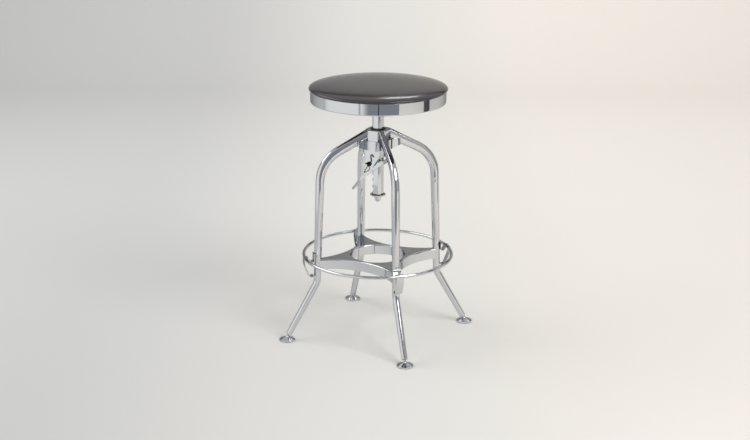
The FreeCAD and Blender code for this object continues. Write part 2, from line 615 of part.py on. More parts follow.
def make_seat():
    axis = (Vector(0, 0, 0), Vector(0, 0, 1))
    bore = SPINDLE_DIAMETER + 2 * PIN_PLAY
    spindle = cylinder(SPINDLE_DIAMETER, NUT_TOP - SPINDLE_IN_NUT, PLATE_BOTTOM)
    save(spindle.makeChamfer(1.0, ring_edges(spindle, NUT_TOP - SPINDLE_IN_NUT)), "spindle")

    washer = cylinder(END_WASHER_DIAMETER, NUT_TOP, WASHER_TOP)
    washer = washer.makeFillet(2.0, ring_edges(washer, NUT_TOP))
    save(washer.cut(cylinder(bore, NUT_TOP - 1, WASHER_TOP + 1)), "end_washer")

    hex_height = CAP_NUT_HEIGHT * 0.55
    corner = CAP_NUT_FLATS / math.sqrt(3)
    points = [Vector(corner * math.cos(math.radians(60 * i)), corner * math.sin(math.radians(60 * i)),
                     NUT_TOP - CAP_NUT_HEIGHT) for i in range(6)]
    prism = Part.Face(Part.makePolygon(points + points[:1])).extrude(Vector(0, 0, CAP_NUT_HEIGHT))
    dome_radius = CAP_NUT_FLATS * 0.44
    dome_mid = NUT_TOP - CAP_NUT_HEIGHT + dome_radius
    dome = Part.makeSphere(dome_radius, Vector(0, 0, dome_mid))
    round_off = dome.fuse(cylinder(2 * dome_radius, dome_mid, NUT_TOP))
    hex_part = prism.cut(cylinder(4 * corner, NUT_TOP - 2 * CAP_NUT_HEIGHT, NUT_TOP - hex_height))
    cone = Part.makeCone(corner - 1.6, corner + 2.4, 4.0, Vector(0, 0, NUT_TOP - hex_height))
    above = cylinder(4 * corner, NUT_TOP - hex_height + 4.0, NUT_TOP + 1)
    nut = hex_part.common(cone.fuse(above)).fuse(round_off).removeSplitter()
    nut = nut.cut(cylinder(bore, NUT_TOP - SPINDLE_IN_NUT - PIN_PLAY, NUT_TOP + 1))
    save(nut, "cap_nut")

    plate = cylinder(SEAT_PLATE_DIAMETER, PLATE_BOTTOM, BOARD_BOTTOM)
    socket = cylinder(SOCKET_DIAMETER, SOCKET_BOTTOM, PLATE_BOTTOM)
    flange = plate.fuse(socket).removeSplitter()
    flange = flange.makeFillet(4.0, ring_edges(flange, PLATE_BOTTOM, SOCKET_DIAMETER / 2))
    flange = flange.cut(cylinder(bore, SOCKET_BOTTOM - 1, PLATE_BOTTOM))
    screws = []
    board = cylinder(SEAT_BAND_DIAMETER - 2 * SEAT_BAND_SHEET - 2 * WELD_GAP, BOARD_BOTTOM, BAND_TOP)
    for i in range(SEAT_SCREW_COUNT):
        angle = math.radians(45 + 360 * i / SEAT_SCREW_COUNT)
        x = SEAT_SCREW_CIRCLE / 2 * math.cos(angle)
        y = SEAT_SCREW_CIRCLE / 2 * math.sin(angle)
        shank = cylinder(SEAT_SCREW_DIAMETER, PLATE_BOTTOM, PLATE_BOTTOM + SEAT_SCREW_LENGTH, x, y)
        head_bottom = PLATE_BOTTOM - SEAT_SCREW_DIAMETER / 2
        head = cylinder(SEAT_SCREW_DIAMETER * 2, head_bottom, PLATE_BOTTOM, x, y)
        screws.append(shank.fuse(head.makeFillet(1.8, ring_edges(head, head_bottom))).removeSplitter())
        hole = cylinder(SEAT_SCREW_DIAMETER + 2 * PIN_PLAY, PLATE_BOTTOM - 1,
                        PLATE_BOTTOM + SEAT_SCREW_LENGTH + PIN_PLAY, x, y)
        flange = flange.cut(hole)
        board = board.cut(hole)
    save(flange, "seat_flange")
    save(board, "seat_board")
    save(Part.Compound(screws), "seat_screws")

    radius = SEAT_BAND_DIAMETER / 2
    inner = radius - SEAT_BAND_SHEET
    lip = inner - SEAT_BAND_LIP
    ledge = BAND_BOTTOM + SEAT_BAND_SHEET
    hoop = outline([(radius, BAND_BOTTOM), (radius, BAND_TOP), (inner, BAND_TOP), (inner, ledge), (lip, ledge),
                    (lip, BAND_BOTTOM)], [2.0, 0.5, 0.5, 0.6, 0, 0])
    save(hoop.revolve(*axis, 360), "seat_band")

    full = CUSHION_DIAMETER / 2
    bottom = BAND_TOP + SEAT_GAP
    belly = Vector(full, 0, BAND_TOP + CUSHION_BELLY_HEIGHT)
    side_low = Vector(full - CUSHION_DRAW_IN, 0, bottom)
    side_mid = Vector(full - 1.4, 0, bottom + 1.0)
    crest = Vector(0, 0, SEAT_HEIGHT)
    over = [belly]
    steps = 14
    for i in range(1, steps):
        angle = math.pi / 2 * i / steps
        over.append(Vector(full * math.cos(angle) ** (2 / CUSHION_SQUARENESS), 0,
                           belly.z + (crest.z - belly.z) * math.sin(angle) ** (2 / CUSHION_SQUARENESS)))
    curve = Part.BSplineCurve()
    curve.interpolate(Points=over + [crest])
    profile = Part.Wire([
        Part.LineSegment(Vector(0, 0, bottom), side_low).toShape(),
        Part.Arc(side_low, side_mid, belly).toShape(),
        curve.toShape(),
        Part.LineSegment(crest, Vector(0, 0, bottom)).toShape()])
    save(Part.Face(profile).revolve(*axis, 360), "seat_cushion")


def lever_arm_face():
    """Side view of a lever plate: a sloping arm past the post, with a lug up to the pivot."""
    slope = math.radians(LEVER_ARM_SLOPE)
    along = Vector(math.cos(slope), 0, math.sin(slope))
    up = Vector(-math.sin(slope), 0, math.cos(slope))
    pawl = Vector(PAWL_X, 0, PAWL_Z)
    half = LEVER_ARM_HEIGHT / 2
    right = pawl + along * ((YOKE_PIN_X - PAWL_X) / math.cos(slope) + half)
    left = pawl - along * 18.0
    corners = (right + up * half, left + up * half, left - up * half, right - up * half)
    arm = outline([(p.x, p.z) for p in corners], [half - 0.1, 2.0, 2.0, half - 0.1])
    pivot = Vector(LEVER_PIVOT_X, 0, LEVER_PIVOT_Z)
    lug_radius = PIVOT_DIAMETER / 2 + 3.3
    foot = pawl - along * 8.5
    side = Vector(lug_radius, 0, 0)
    lug = Part.Face(Part.makePolygon([pivot - side, pivot + side, foot + along * 12.0, foot - along * 9.0,
                                      pivot - side]))
    return arm, lug, pivot, lug_radius, left, along


def make_lever():
    arm, lug, pivot, lug_radius, left, along = lever_arm_face()
    low = -PLATE_OFFSET - LEVER_PLATE
    high = -PLATE_OFFSET
    eye = Part.makeCylinder(lug_radius, LEVER_PLATE, Vector(pivot.x, low, pivot.z), Vector(0, 1, 0))
    plate = across(arm, low, high).fuse([across(lug, low, high), eye]).removeSplitter()
    pin_hole = cross_pin(PIVOT_DIAMETER + 2 * PIN_PLAY, 60, pivot.x, pivot.z)
    yoke = Vector(PAWL_X, 0, PAWL_Z) + along * ((YOKE_PIN_X - PAWL_X) / along.x)
    yoke_hole = cross_pin(YOKE_PIN_DIAMETER + 2 * PIN_PLAY, 60, yoke.x, yoke.z)
    pawl_hole = cross_pin(PAWL_DIAMETER + 2 * PIN_PLAY, 60, PAWL_X, PAWL_Z)
    holes = pin_hole.fuse([yoke_hole, pawl_hole])

    root = left + along * 4.0
    knee = Vector(LEVER_PIVOT_X - HANDLE_KNEE_OUT, 0, LEVER_PIVOT_Z - HANDLE_KNEE_DROP)
    tip = Vector(LEVER_PIVOT_X - HANDLE_TIP_OUT, 0, LEVER_PIVOT_Z - HANDLE_TIP_DROP)
    handle = bent_strip([(root.x, root.z), (knee.x, knee.z), (tip.x, tip.z)], [2 * HANDLE_KNEE_OUT],
                        LEVER_HANDLE_HEIGHT)
    blade = across(handle, low, high)
    crosswise = [e for e in blade.Edges if abs(e.tangentAt(e.FirstParameter).y) > 0.9]
    tips = [e for e in crosswise if e.Vertexes[0].X < tip.x + LEVER_HANDLE_HEIGHT / 2]
    blade = blade.makeFillet(LEVER_HANDLE_HEIGHT / 2 - 0.1, tips)
    front = plate.fuse(blade).removeSplitter().cut(holes)
    save(front, "lever")
    back = plate.cut(holes)
    back.translate(Vector(0, 2 * PLATE_OFFSET + LEVER_PLATE, 0))
    save(back, "lever_side_plate")

    half_span = PLATE_OFFSET + LEVER_PLATE + PIN_STANDS_OUT
    for name, diameter, x, z in (("pawl_pin", PAWL_DIAMETER, PAWL_X, PAWL_Z),
                                 ("yoke_pin", YOKE_PIN_DIAMETER, yoke.x, yoke.z)):
        pin = cross_pin(diameter, half_span, x, z)
        ends = [e for e in pin.Edges if isinstance(e.Curve, Part.Circle)]
        save(pin.makeChamfer(0.5, ends), name)


def make_lever_bracket():
    top = HUB_BOTTOM - BRACE_SHEET
    left = LEVER_PIVOT_X - EAR_PAST_PIVOT
    right = left + EAR_WIDTH
    face = outline([(left + EAR_SNIP, top), (left, top - 2 * EAR_SNIP), (left, EAR_BOTTOM),
                    (left + 1.5 * EAR_ROUND, EAR_BOTTOM - 0.5), (right - 2.0, LEVER_PIVOT_Z + EAR_TAPER_TOP),
                    (right, top)],
                   [0, 0, EAR_ROUND, 9.0, 10.0, 0])
    inner = EAR_OFFSET
    outer = EAR_OFFSET + EAR_PLATE
    web_corner = Vector(left + EAR_SNIP, -outer, top - EAR_PLATE)
    web = Part.makeBox(right - left - EAR_SNIP, 2 * outer, EAR_PLATE, web_corner)
    bracket = web.fuse([across(face, inner, outer), across(face, -outer, -inner)]).removeSplitter()
    bracket = bracket.cut(post_bar(SIDE_PLAY, top - 2 * EAR_PLATE, top + 1))
    bracket = bracket.cut(cross_pin(PIVOT_DIAMETER + 2 * PIN_PLAY, 60, LEVER_PIVOT_X, LEVER_PIVOT_Z))
    hole_start = Vector(LEVER_PIVOT_X + HOOK_OUT, -outer - 1, LEVER_PIVOT_Z + HOOK_RISE)
    spring_hole = Part.makeCylinder(SPRING_WIRE / 2 + SEAT_GAP, EAR_PLATE + 2, hole_start, Vector(0, 1, 0))
    save(bracket.cut(spring_hole), "lever_bracket")

    coil_room = SPRING_TURNS * SPRING_PITCH + SPRING_WIRE + PIVOT_HEAD
    front = -outer - coil_room
    back = outer + WELD_GAP + PIVOT_HEAD

    def on_pivot(radius, low, high):
        return Part.makeCylinder(radius, high - low, Vector(LEVER_PIVOT_X, low, LEVER_PIVOT_Z), Vector(0, 1, 0))

    pin = on_pivot(PIVOT_DIAMETER / 2, front, back)
    for low, high, end in ((front - PIVOT_HEAD, front, front - PIVOT_HEAD), (back - PIVOT_HEAD, back, back)):
        head = on_pivot(PIVOT_DIAMETER / 2 + PIVOT_HEAD, low, high)
        rims = [e for e in head.Edges if isinstance(e.Curve, Part.Circle) and abs(e.Vertexes[0].Y - end) < 0.01]
        pin = pin.fuse(head.makeFillet(PIVOT_HEAD / 2, rims))
    save(pin.removeSplitter(), "lever_pivot_pin")
    return outer


def least_gap(points, wire, skip):
    """Smallest free gap between stretches of a wire that are not neighbours along it."""
    least = 1e9
    for i, a in enumerate(points):
        for b in points[i + skip:]:
            least = min(least, (a - b).Length - wire)
    return least


def rounded_path(points, radii):
    """Straight runs through the points in order, with an arc of the given radius at each inner point."""
    edges = []
    last = points[0]
    for i, radius in enumerate(radii):
        start, middle, end, centre = corner_arc(points[i], points[i + 1], points[i + 2], radius)
        edges.append(Part.LineSegment(last, start).toShape())
        edges.append(Part.Arc(start, middle, end).toShape())
        last = end
    edges.append(Part.LineSegment(last, points[-1]).toShape())
    return edges


def make_spring(outer):
    """Return spring: a coil round the pivot pin, a foot under the ear onto the lever and a hooked leg."""
    radius = PIVOT_DIAMETER / 2 + 0.6 + SPRING_WIRE / 2
    near_y = -outer - 0.8 - SPRING_WIRE / 2
    far_y = near_y - SPRING_TURNS * SPRING_PITCH
    leave = math.radians(SPRING_LEG_ANGLE)
    pivot = Vector(LEVER_PIVOT_X, 0, LEVER_PIVOT_Z)

    def coil_point(share):
        angle = leave + 2 * math.pi * SPRING_TURNS * share
        y = far_y + (near_y - far_y) * share
        return pivot + Vector(radius * math.cos(angle), y, radius * math.sin(angle))

    def coil_way(share):
        angle = leave + 2 * math.pi * SPRING_TURNS * share
        around = 2 * math.pi * SPRING_TURNS * radius
        return Vector(-around * math.sin(angle), near_y - far_y, around * math.cos(angle)).normalize()

    flat_way = Vector(-math.sin(leave), 0, math.cos(leave))
    settle = 3.0
    foot_top = coil_point(0) - flat_way * settle
    foot_top.y = far_y
    foot_turn = coil_point(0) - flat_way * SPRING_FOOT_REACH
    foot_turn.y = far_y
    foot_end = Vector(foot_turn.x, -PLATE_OFFSET, foot_turn.z)
    edges = rounded_path([foot_end, foot_turn, foot_top], [2.4])
    edges += biarc(foot_top, flat_way, coil_point(0), coil_way(0))
    pieces = SPRING_TURNS * 6
    for i in range(pieces):
        a, b = i / pieces, (i + 1) / pieces
        edges += biarc(coil_point(a), coil_way(a), coil_point(b), coil_way(b))
    hook_start = coil_point(1) + flat_way * settle
    hook_start.y = near_y
    edges += biarc(coil_point(1), coil_way(1), hook_start, flat_way)
    hook_end = pivot + Vector(HOOK_OUT, 0, HOOK_RISE)
    bends = [coil_point(1) + flat_way * (1.5 * HOOK_SHANK),
             pivot + Vector(HOOK_SHANK - 0.4, 0, HOOK_RISE - 2.2),
             pivot + Vector(HOOK_SHANK, 0, HOOK_TOP), hook_end]
    for bend in bends:
        bend.y = near_y
    hook_tip = Vector(hook_end.x, EAR_PLATE * 0.7 - outer, hook_end.z)
    edges += rounded_path([hook_start] + bends + [hook_tip], [4.0, 4.0, 2.6, 1.6])
    path = Part.Wire(edges)
    ring = Part.Wire(Part.makeCircle(SPRING_WIRE / 2, foot_end, (foot_turn - foot_end).normalize()))
    spring = path.makePipeShell([ring], True, False)
    points = []
    for edge in path.Edges:
        points += edge.discretize(Number=max(2, int(edge.Length / 0.9) + 1))[:-1]
    half_turn = int(math.pi * radius / 0.9)
    print("spring least gap to itself", round(least_gap(points, SPRING_WIRE, half_turn), 2))
    print("spring volume", round(spring.Volume, 1), "from its section and length",
          round(math.pi * SPRING_WIRE ** 2 / 4 * path.Length, 1))
    save(spring, "lever_spring")


def biarc(a, way_a, b, way_b):
    """Two arcs that join two points with given directions, as edges."""
    chord = b - a
    total = way_a + way_b
    denominator = 2 * (1 - way_a.dot(way_b))
    dot = chord.dot(total)
    reach = (-dot + math.sqrt(dot * dot + denominator * chord.dot(chord))) / denominator
    meet = (a + way_a * reach + b - way_b * reach) * 0.5

    def arc(start, way, end):
        span = end - start
        normal = span.cross(way)
        inward = way.cross(normal).normalize()
        radius = span.dot(span) / (2 * span.dot(inward))
        centre = start + inward * radius
        middle = centre + ((start + end) * 0.5 - centre).normalize() * abs(radius)
        return Part.Arc(start, middle, end).toShape()

    first_chord = (meet - a).normalize()
    way_meet = first_chord * 2 * first_chord.dot(way_a) - way_a
    return [arc(a, way_a, meet), arc(meet, way_meet, b)]


def main():
    os.makedirs(OUT, exist_ok=True)
    leg_room = make_legs()
    make_hub()
    make_upper_brace()
    make_lower_brace(leg_room)
    make_ring()
    make_feet()
    make_post()
    make_seat()
    make_lever()
    outer = make_lever_bracket()
    make_spring(outer)


main()
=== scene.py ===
"""Finishes a round swivel stool: polished chrome, a padded vinyl seat, a dark spring, a plain studio.

It is laid out as a Blender add-on and run as a script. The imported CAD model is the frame: metres, +Z up, the
origin on the floor under the middle of the seat. No CAD part is moved or changed here.
"""
import math

import bpy
import numpy as np
from bpy.props import FloatProperty, FloatVectorProperty, IntProperty, PointerProperty
from bpy.types import Operator, Panel, PropertyGroup
from mathutils import Matrix, Vector


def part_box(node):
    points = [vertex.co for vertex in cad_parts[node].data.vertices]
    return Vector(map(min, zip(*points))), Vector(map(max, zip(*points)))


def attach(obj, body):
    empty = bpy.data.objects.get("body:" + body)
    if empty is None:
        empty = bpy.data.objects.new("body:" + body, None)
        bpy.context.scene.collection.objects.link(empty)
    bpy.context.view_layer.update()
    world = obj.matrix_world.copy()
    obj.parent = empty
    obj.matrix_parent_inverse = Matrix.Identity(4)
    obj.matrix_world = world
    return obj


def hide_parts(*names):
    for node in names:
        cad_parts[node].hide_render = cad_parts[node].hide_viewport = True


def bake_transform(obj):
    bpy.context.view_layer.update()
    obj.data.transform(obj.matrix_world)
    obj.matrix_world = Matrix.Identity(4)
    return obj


bl_info = {
    "name": "Swivel stool finisher",
    "version": (1, 0, 0),
    "blender": (4, 5, 0),
    "location": "View3D > Sidebar > Stool",
    "description": "Gives the packed swivel stool its vinyl, chrome and studio",
    "category": "Object",
}

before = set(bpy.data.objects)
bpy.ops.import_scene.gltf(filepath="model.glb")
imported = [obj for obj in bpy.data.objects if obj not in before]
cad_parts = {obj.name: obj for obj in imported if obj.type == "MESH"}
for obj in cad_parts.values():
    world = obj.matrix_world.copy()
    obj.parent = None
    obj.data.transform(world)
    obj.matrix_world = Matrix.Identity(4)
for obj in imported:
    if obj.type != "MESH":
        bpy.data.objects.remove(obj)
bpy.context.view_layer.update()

MM = 0.001
QUARTERS = {"front": -45.0, "right": 45.0, "back": 135.0, "left": 225.0}

CUSHION_LOW, CUSHION_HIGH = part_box("seat_cushion")
BAND_LOW, BAND_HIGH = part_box("seat_band")
HUB_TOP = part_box("hub_collar")[1].z
EAR_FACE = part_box("lever_bracket")[0].y
PIVOT = Vector((-20.0 * MM, 0.0, 463.0 * MM))
BAND_JOINT = math.radians(4.9)

# A leg's flattened end meets the collar's face in an oval. The weld goes round it, below the collar's top.
WELD_REACH = 30.5 * MM
WELD_MIDDLE = HUB_TOP - 14.0 * MM
WELD_HALF_WIDTH = 7.6 * MM
WELD_HALF_HEIGHT = 15.1 * MM
WELD_START = math.radians(55.0)
WELD_END = math.radians(-235.0)


def linear(hex_colour):
    """An sRGB hex colour as three linear values."""
    channels = np.array([int(hex_colour[i:i + 2], 16) for i in (1, 3, 5)]) / 255.0
    straight, curved = channels / 12.92, ((channels + 0.055) / 1.055) ** 2.4
    return tuple(np.where(channels <= 0.04045, straight, curved).tolist())


class StoolSizes(PropertyGroup):
    """Sizes of the pieces that are made here."""

    belly_height: FloatProperty(
        name="Belly height", description="Height of the pad's widest line above its lower face",
        default=3.2 * MM, min=0, unit="LENGTH")
    squareness: FloatProperty(
        name="Shoulder squareness",
        description="Power of the pad's rounded shoulder: 2 is an ellipse, more is squarer",
        default=2.6, min=2, max=6)
    draw_in: FloatProperty(
        name="Draw-in", description="How far the cover is pulled in under the pad's widest line",
        default=5.5 * MM, min=0, unit="LENGTH")
    gather_depth: FloatProperty(
        name="Gather depth", description="Depth of the small gathers where the cover is pulled under",
        default=0.35 * MM, min=0, unit="LENGTH")
    gather_spacing: FloatProperty(
        name="Gather spacing", description="Distance between two gathers round the pad",
        default=14.0 * MM, min=0.001, unit="LENGTH")
    band_sheet: FloatProperty(
        name="Band sheet", description="Thickness of the seat band's sheet",
        default=1.5 * MM, min=0.0005, unit="LENGTH")
    band_lip: FloatProperty(
        name="Band lip", description="Width of the ledge turned in under the board",
        default=3.0 * MM, min=0, unit="LENGTH")
    band_wave: FloatProperty(
        name="Band waviness", description="Height of the long waves that rolling leaves in the band's sheet",
        default=0.03 * MM, min=0, unit="LENGTH")
    band_joint_width: FloatProperty(
        name="Band joint", description="Width of the joint where the band's two ends meet",
        default=0.9 * MM, min=0, unit="LENGTH")
    spring_wire: FloatProperty(
        name="Spring wire", description="Diameter of the lever spring's wire",
        default=1.8 * MM, min=0.0005, unit="LENGTH")
    spring_turns: IntProperty(
        name="Spring turns", description="Whole turns of the lever spring round its pin",
        default=3, min=1, max=8)
    weld_bead: FloatProperty(
        name="Weld bead", description="Radius of the weld beads on the frame",
        default=1.0 * MM, min=0.0002, unit="LENGTH")


class StoolFinishes(PropertyGroup):
    """Colours and polish of the stool's finishes."""

    vinyl_colour: FloatVectorProperty(
        name="Vinyl", description="Colour of the seat's vinyl", subtype="COLOR", min=0, max=1,
        default=linear("#3E3A3D"))
    vinyl_roughness: FloatProperty(
        name="Vinyl roughness", description="Roughness of the vinyl between its grain", subtype="FACTOR",
        default=0.14, min=0, max=1)
    vinyl_grain: FloatProperty(
        name="Vinyl grain", description="Size of one cell of the vinyl's grain",
        default=1.5 * MM, min=0.0002, unit="LENGTH")
    chrome_colour: FloatVectorProperty(
        name="Chrome", description="Colour of the chrome plating", subtype="COLOR", min=0, max=1,
        default=linear("#D6D8DB"))
    chrome_edge: FloatVectorProperty(
        name="Chrome edge", description="Tint of the chrome where it turns away from the eye",
        subtype="COLOR", min=0, max=1, default=linear("#A9ABAE"))
    chrome_roughness: FloatProperty(
        name="Chrome roughness", description="Roughness of the polished chrome where it is clean",
        subtype="FACTOR", default=0.035, min=0, max=1)
    zinc_colour: FloatVectorProperty(
        name="Zinc plate", description="Colour of the zinc plated steel under the seat",
        subtype="COLOR", min=0, max=1, default=linear("#A9ACB0"))
    nylon_colour: FloatVectorProperty(
        name="Nylon", description="Colour of the liner and bushes", subtype="COLOR", min=0, max=1,
        default=linear("#2C2C2E"))
    rubber_colour: FloatVectorProperty(
        name="Rubber", description="Colour of the pads under the feet", subtype="COLOR", min=0, max=1,
        default=linear("#2A2A2B"))
    board_colour: FloatVectorProperty(
        name="Board", description="Colour of the stained plywood board", subtype="COLOR", min=0, max=1,
        default=linear("#2B2725"))
    spring_colour: FloatVectorProperty(
        name="Spring", description="Colour of the blackened spring wire", subtype="COLOR", min=0, max=1,
        default=linear("#2A2A2C"))


class StoolStudio(PropertyGroup):
    """Floor, lamps and camera."""

    # The left and right colours are painted light: the sweep is darker at the left and lighter at the right.
    floor_left_painted_shade: FloatVectorProperty(
        name="Floor, left", description="Colour of the sweep at the left", subtype="COLOR", min=0, max=1,
        default=linear("#D3D3D2"))
    floor_middle: FloatVectorProperty(
        name="Floor, middle", description="Colour of the sweep behind the stool",
        subtype="COLOR", min=0, max=1, default=linear("#E8E7E3"))
    floor_right_painted_light: FloatVectorProperty(
        name="Floor, right", description="Colour of the sweep at the right", subtype="COLOR", min=0, max=1,
        default=linear("#F3EEE7"))
    world_level: FloatProperty(
        name="World level", description="Brightness of the plain world", default=0.52, min=0)
    key_power: FloatProperty(
        name="Key lamp", description="Power of the soft lamp at the front right",
        unit="POWER", default=60.0, min=0)
    fill_power: FloatProperty(
        name="Fill lamp", description="Power of the soft lamp at the left", unit="POWER", default=45.0, min=0)
    back_power: FloatProperty(
        name="Back lamp", description="Power of the strip lamp above the sweep",
        unit="POWER", default=4.0, min=0)
    wash_power: FloatProperty(
        name="Backdrop lamp", description="Power of the lamp that lights only the far part of the sweep",
        unit="POWER", default=18.0, min=0)


def grid_faces(rows, columns, close_rows, close_columns):
    """Quads of a grid of rows x columns points; a closed direction joins its last line to its first."""
    r = np.arange(rows if close_rows else rows - 1)
    c = np.arange(columns if close_columns else columns - 1)
    r, c = np.meshgrid(r, c, indexing="ij")
    down, along = (r + 1) % rows, (c + 1) % columns
    corners = [r * columns + c, down * columns + c, down * columns + along, r * columns + along]
    return np.stack(corners, -1).reshape(-1, 4)


def make_piece(name, points, quads, material, body, fans=()):
    """One smooth mesh object from points and quads; fans are (centre, ring) indices that close an end."""
    mesh = bpy.data.meshes.new(name)
    triangles = [np.stack([np.full(len(ring), centre), ring, np.roll(ring, -1)], -1) for centre, ring in fans]
    triangles = np.concatenate(triangles) if triangles else np.zeros((0, 3), int)
    loops = np.concatenate([quads.ravel(), triangles.ravel()]).astype(np.int32)
    sizes = np.concatenate([np.full(len(quads), 4), np.full(len(triangles), 3)])
    starts = np.concatenate([[0], np.cumsum(sizes)[:-1]]).astype(np.int32)
    mesh.vertices.add(len(points))
    mesh.vertices.foreach_set("co", np.ascontiguousarray(points, np.float32).ravel())
    mesh.loops.add(len(loops))
    mesh.loops.foreach_set("vertex_index", loops)
    mesh.polygons.add(len(sizes))
    mesh.polygons.foreach_set("loop_start", starts)
    mesh.update(calc_edges=True)
    mesh.validate()
    mesh.shade_smooth()
    mesh.materials.append(material)
    piece = bpy.data.objects.new(name, mesh)
    bpy.context.scene.collection.objects.link(piece)
    if body:
        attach(piece, body)
    return piece


def turned_surface(radius, height, angles):
    """Points of a profile turned about Z: (r cos a, r sin a, z) for every profile point and every angle a."""
    ring = np.stack([np.cos(angles), np.sin(angles)], -1)
    flat = radius[:, :, None] * ring[None] if radius.ndim == 2 else radius[:, None, None] * ring[None]
    tall = np.broadcast_to(height[:, None] if height.ndim == 1 else height, flat.shape[:2])
    return np.concatenate([flat, tall[..., None]], -1)


def rounded_line(corners, radii, step):
    """Points along straight runs with a circular arc at each inner corner, about one step apart."""
    corners = np.asarray(corners, float)
    stretches = [corners[:1]]
    for before, corner, after, radius in zip(corners[:-2], corners[1:-1], corners[2:], radii):
        first = (before - corner) / np.linalg.norm(before - corner)
        second = (after - corner) / np.linalg.norm(after - corner)
        half = math.acos(float(np.clip(first @ second, -1, 1))) / 2
        middle = (first + second) / np.linalg.norm(first + second)
        centre = corner + middle * radius / math.sin(half)
        side = (first - second) / np.linalg.norm(first - second)
        swing = math.pi / 2 - half
        turn = np.linspace(swing, -swing, max(3, int(2 * swing * radius / step) + 2))[:, None]
        stretches.append(centre - radius * (np.cos(turn) * middle - np.sin(turn) * side))
    stretches.append(corners[-1:])
    line = np.concatenate(stretches)
    gaps = np.linalg.norm(np.diff(line, axis=0), axis=1)
    along = np.concatenate([[0], np.cumsum(gaps)])
    even = np.union1d(along, np.arange(0, along[-1], step))
    return np.stack([np.interp(even, along, line[:, k]) for k in range(3)], -1)


def swept_tube(path, radius, sides, reference):
    """Points of a round tube: path + r (cos a * n + sin a * b), with n and b square to the path."""
    way = np.gradient(path, axis=0)
    way /= np.linalg.norm(way, axis=1, keepdims=True)
    across = np.cross(way, np.asarray(reference, float))
    across /= np.linalg.norm(across, axis=1, keepdims=True)
    over = np.cross(way, across)
    angles = np.linspace(0, 2 * math.pi, sides, endpoint=False)
    radius = np.broadcast_to(radius, (len(path),))[:, None, None]
    ring = np.cos(angles)[:, None] * across[:, None] + np.sin(angles)[:, None] * over[:, None]
    return path[:, None] + radius * ring


def tube_piece(name, path, radius, sides, reference, material, body):
    """A swept tube as a piece, with a fan of triangles closing each end."""
    grid = swept_tube(path, radius, sides, reference)
    rows = len(path)
    points = np.concatenate([grid.reshape(-1, 3), path[:1], path[-1:]])
    first = np.arange(sides)
    last = first + (rows - 1) * sides
    fans = ((rows * sides, first[::-1]), (rows * sides + 1, last))
    quads = grid_faces(rows, sides, False, True)[:, ::-1]
    return make_piece(name, points, quads, material, body, fans)


def add_node(tree, kind, inputs=None, **settings):
    """Adds one node: settings are its own values, inputs maps a socket to a value or a node's output."""
    node = tree.nodes.new(kind)
    for key, value in settings.items():
        setattr(node, key, value)
    for socket, value in (inputs or {}).items():
        if isinstance(value, bpy.types.NodeSocket):
            tree.links.new(value, node.inputs[socket])
        else:
            node.inputs[socket].default_value = value
    return node


def new_material(name, **shader):
    """An empty node material with its Principled shader, and an Object coordinate output."""
    material = bpy.data.materials.new(name)
    material.use_nodes = True
    tree = material.node_tree
    principled = tree.nodes["Principled BSDF"]
    for socket, value in shader.items():
        principled.inputs[socket.replace("_", " ")].default_value = value
    place = add_node(tree, "ShaderNodeTexCoord").outputs["Object"]
    return material, tree, principled, place


def rgba(colour):
    return (*colour, 1.0)


def polished_chrome(finishes, name="polished_chrome", softer=0.0, streaks=0.0):
    """Nickel and chrome plate on steel, buffed: it mirrors the room, with faint handling marks and waves."""
    material, tree, principled, place = new_material(
        name, Base_Color=rgba(finishes.chrome_colour), Metallic=1.0,
        Specular_Tint=rgba(finishes.chrome_edge))
    clean = finishes.chrome_roughness + softer
    smears = add_node(tree, "ShaderNodeTexNoise", {
        "Vector": place, "Scale": 22.0, "Detail": 5.0, "Roughness": 0.6})
    dull = add_node(tree, "ShaderNodeMapRange", {
        "Value": smears.outputs["Fac"], "From Min": 0.42, "From Max": 0.72,
        "To Min": clean, "To Max": clean + 0.07})
    tree.links.new(dull.outputs["Result"], principled.inputs["Roughness"])
    waves = add_node(tree, "ShaderNodeTexNoise", {"Vector": place, "Scale": 70.0, "Detail": 1.0})
    bump = add_node(tree, "ShaderNodeBump", {
        "Height": waves.outputs["Fac"], "Strength": 0.25, "Distance": 0.06 * MM})
    if streaks:
        stretched = add_node(tree, "ShaderNodeMapping", {"Vector": place, "Scale": (1.0, 1.0, 0.03)})
        lines = add_node(tree, "ShaderNodeTexNoise", {
            "Vector": stretched.outputs["Vector"], "Scale": 160.0, "Detail": 2.0})
        bump = add_node(tree, "ShaderNodeBump", {
            "Height": lines.outputs["Fac"], "Strength": streaks, "Distance": 0.1 * MM,
            "Normal": bump.outputs["Normal"]})
    tree.links.new(bump.outputs["Normal"], principled.inputs["Normal"])
    return material


